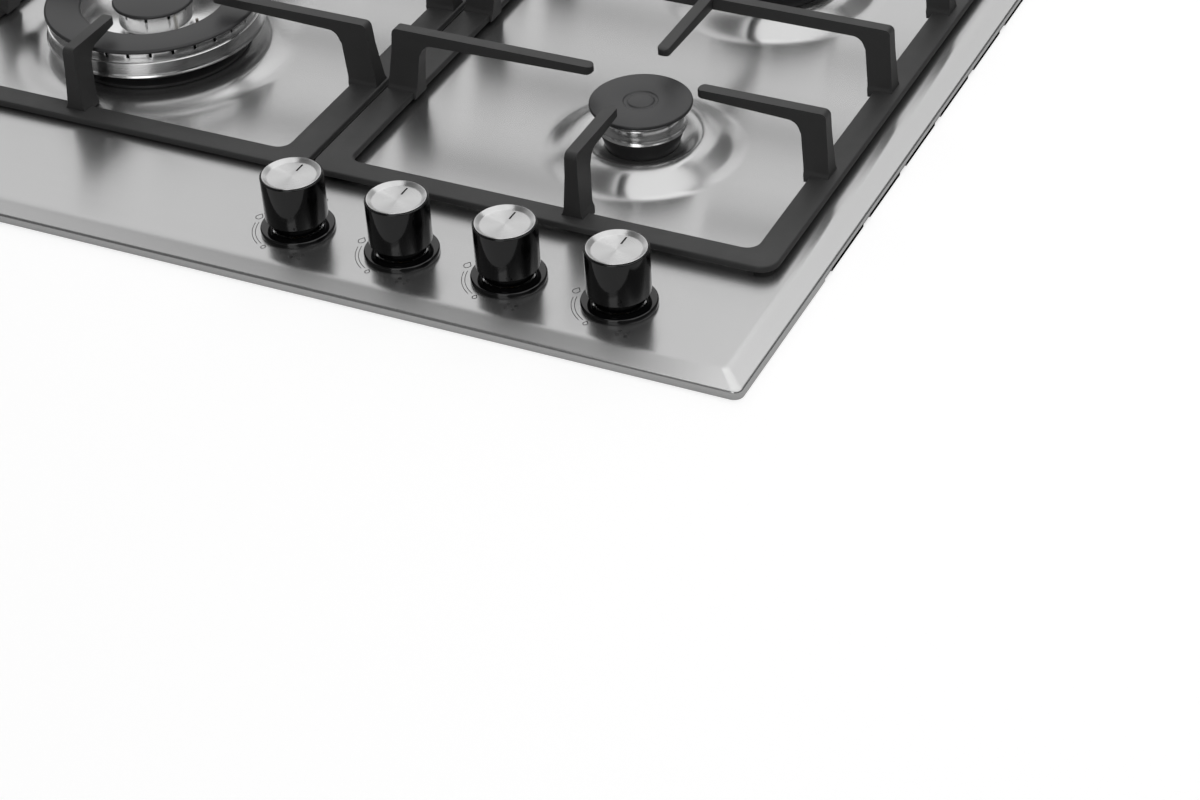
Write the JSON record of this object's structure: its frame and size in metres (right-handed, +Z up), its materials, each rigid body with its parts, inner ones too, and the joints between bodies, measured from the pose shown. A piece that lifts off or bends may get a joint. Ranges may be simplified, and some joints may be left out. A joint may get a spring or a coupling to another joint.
{
  "type": "gas cooktop",
  "caption": "Built-in steel gas cooktop with a front knob row, pressed burner wells, a double-ring wok burner and cast pan supports that lift off.",
  "frame": {"origin": "middle of the underside of the tray", "axes": "+X to the user's right, +Y to the back edge, +Z up"},
  "size_m": [0.58, 0.5, 0.098],
  "materials": {
    "sheet_steel": "brushed stainless steel, grain along X",
    "galvanised_steel": "galvanised sheet and tube, dull",
    "foam_seal": "closed-cell foam strip",
    "black_enamel": "matt black vitreous enamel",
    "burner_aluminium": "turned die-cast aluminium",
    "ceramic": "glazed insulator with a steel pin",
    "cast_iron": "cast iron with matt black enamel",
    "rubber": "moulded black rubber",
    "tap_aluminium": "die-cast and drawn aluminium",
    "brass": "machined brass",
    "black_plastic": "gloss black moulded plastic",
    "knob_aluminium": "spun-brushed aluminium disc with a bright bevel",
    "module_plastic": "black flame-retardant plastic"
  },
  "bodies": {
    "base": {"top_sheet": "sheet_steel", "bottom_tray": "galvanised_steel", "worktop_seal": "foam_seal", "worktop_clamp_left": "galvanised_steel", "worktop_clamp_right": "galvanised_steel", "burner_cup_front_right": "black_enamel", "spark_electrode_front_right": "ceramic", "burner_cup_rear_right": "black_enamel", "spark_electrode_rear_right": "ceramic", "burner_cup_rear_left": "black_enamel", "spark_electrode_rear_left": "ceramic", "burner_cup_front_left": "black_enamel", "spark_electrode_front_left": "ceramic", "gas_tap_front_left": "tap_aluminium", "knob_collar_front_left": "black_plastic", "supply_tube_front_left": "tap_aluminium", "gas_tap_rear_left": "tap_aluminium", "knob_collar_rear_left": "black_plastic", "supply_tube_rear_left": "tap_aluminium", "gas_tap_rear_right": "tap_aluminium", "knob_collar_rear_right": "black_plastic", "supply_tube_rear_right": "tap_aluminium", "gas_tap_front_right": "tap_aluminium", "knob_collar_front_right": "black_plastic", "supply_tube_front_right": "tap_aluminium", "gas_rail": "galvanised_steel", "inlet_fitting": "brass", "cable_gland": "rubber", "ignition_module": "module_plastic"},
    "support_left": {"pan_support_left": "cast_iron", "support_foot_left_front_inner": "rubber", "support_foot_left_front_outer": "rubber", "support_foot_left_rear_inner": "rubber", "support_foot_left_rear_outer": "rubber"},
    "support_right": {"pan_support_right": "cast_iron", "support_foot_right_front_inner": "rubber", "support_foot_right_front_outer": "rubber", "support_foot_right_rear_inner": "rubber", "support_foot_right_rear_outer": "rubber"},
    "crown_front_right": {"flame_crown_front_right": "burner_aluminium"},
    "crown_rear_right": {"flame_crown_rear_right": "burner_aluminium"},
    "crown_rear_left": {"flame_crown_rear_left": "burner_aluminium"},
    "crown_front_left": {"flame_crown_front_left": "burner_aluminium"},
    "cap_front_right": {"burner_cap_front_right": "black_enamel"},
    "cap_rear_right": {"burner_cap_rear_right": "black_enamel"},
    "cap_rear_left": {"burner_cap_rear_left": "black_enamel"},
    "cap_front_left_ring": {"burner_cap_front_left_ring": "black_enamel"},
    "cap_front_left_centre": {"burner_cap_front_left_centre": "black_enamel"},
    "spindle_front_left": {"tap_spindle_front_left": "brass"},
    "knob_front_left": {"knob_body_front_left": "black_plastic", "knob_disc_front_left": "knob_aluminium"},
    "spindle_rear_left": {"tap_spindle_rear_left": "brass"},
    "knob_rear_left": {"knob_body_rear_left": "black_plastic", "knob_disc_rear_left": "knob_aluminium"},
    "spindle_rear_right": {"tap_spindle_rear_right": "brass"},
    "knob_rear_right": {"knob_body_rear_right": "black_plastic", "knob_disc_rear_right": "knob_aluminium"},
    "spindle_front_right": {"tap_spindle_front_right": "brass"},
    "knob_front_right": {"knob_body_front_right": "black_plastic", "knob_disc_front_right": "knob_aluminium"}
  },
  "joints": [
    {"name": "lift_support_left", "type": "slide", "parent": "base", "child": "support_left", "axis": [0, 0, 1], "range_m": [0, 0.06]},
    {"name": "lift_support_right", "type": "slide", "parent": "base", "child": "support_right", "axis": [0, 0, 1], "range_m": [0, 0.06]},
    {"name": "lift_crown_front_right", "type": "slide", "parent": "base", "child": "crown_front_right", "axis": [0, 0, 1], "range_m": [0, 0.005]},
    {"name": "lift_crown_rear_right", "type": "slide", "parent": "base", "child": "crown_rear_right", "axis": [0, 0, 1], "range_m": [0, 0.005]},
    {"name": "lift_crown_rear_left", "type": "slide", "parent": "base", "child": "crown_rear_left", "axis": [0, 0, 1], "range_m": [0, 0.004]},
    {"name": "lift_crown_front_left", "type": "slide", "parent": "base", "child": "crown_front_left", "axis": [0, 0, 1], "range_m": [0, 0.0015]},
    {"name": "lift_cap_front_right", "type": "slide", "parent": "crown_front_right", "child": "cap_front_right", "axis": [0, 0, 1], "range_m": [0, 0.005]},
    {"name": "lift_cap_rear_right", "type": "slide", "parent": "crown_rear_right", "child": "cap_rear_right", "axis": [0, 0, 1], "range_m": [0, 0.005]},
    {"name": "lift_cap_rear_left", "type": "slide", "parent": "crown_rear_left", "child": "cap_rear_left", "axis": [0, 0, 1], "range_m": [0, 0.004]},
    {"name": "lift_cap_front_left_ring", "type": "slide", "parent": "crown_front_left", "child": "cap_front_left_ring", "axis": [0, 0, 1], "range_m": [0, 0.0015]},
    {"name": "lift_cap_front_left_centre", "type": "slide", "parent": "crown_front_left", "child": "cap_front_left_centre", "axis": [0, 0, 1], "range_m": [0, 0.0015]},
    {"name": "turn_knob_front_left", "type": "hinge", "parent": "base", "child": "spindle_front_left", "pos_m": [0.0223, -0.207, 0.07], "axis": [0, 0, 1], "range_deg": [0, 160]},
    {"name": "push_knob_front_left", "type": "slide", "parent": "spindle_front_left", "child": "knob_front_left", "axis": [0, 0, -1], "range_m": [0, 0.003], "stiffness_N_per_m": 500, "springref_m": -0.004},
    {"name": "turn_knob_rear_left", "type": "hinge", "parent": "base", "child": "spindle_rear_left", "pos_m": [0.0838, -0.207, 0.07], "axis": [0, 0, 1], "range_deg": [0, 160]},
    {"name": "push_knob_rear_left", "type": "slide", "parent": "spindle_rear_left", "child": "knob_rear_left", "axis": [0, 0, -1], "range_m": [0, 0.003], "stiffness_N_per_m": 500, "springref_m": -0.004},
    {"name": "turn_knob_rear_right", "type": "hinge", "parent": "base", "child": "spindle_rear_right", "pos_m": [0.1453, -0.207, 0.07], "axis": [0, 0, 1], "range_deg": [0, 160]},
    {"name": "push_knob_rear_right", "type": "slide", "parent": "spindle_rear_right", "child": "knob_rear_right", "axis": [0, 0, -1], "range_m": [0, 0.003], "stiffness_N_per_m": 500, "springref_m": -0.004},
    {"name": "turn_knob_front_right", "type": "hinge", "parent": "base", "child": "spindle_front_right", "pos_m": [0.2068, -0.207, 0.07], "axis": [0, 0, 1], "range_deg": [0, 160]},
    {"name": "push_knob_front_right", "type": "slide", "parent": "spindle_front_right", "child": "knob_front_right", "axis": [0, 0, -1], "range_m": [0, 0.003], "stiffness_N_per_m": 500, "springref_m": -0.004}
  ]
}
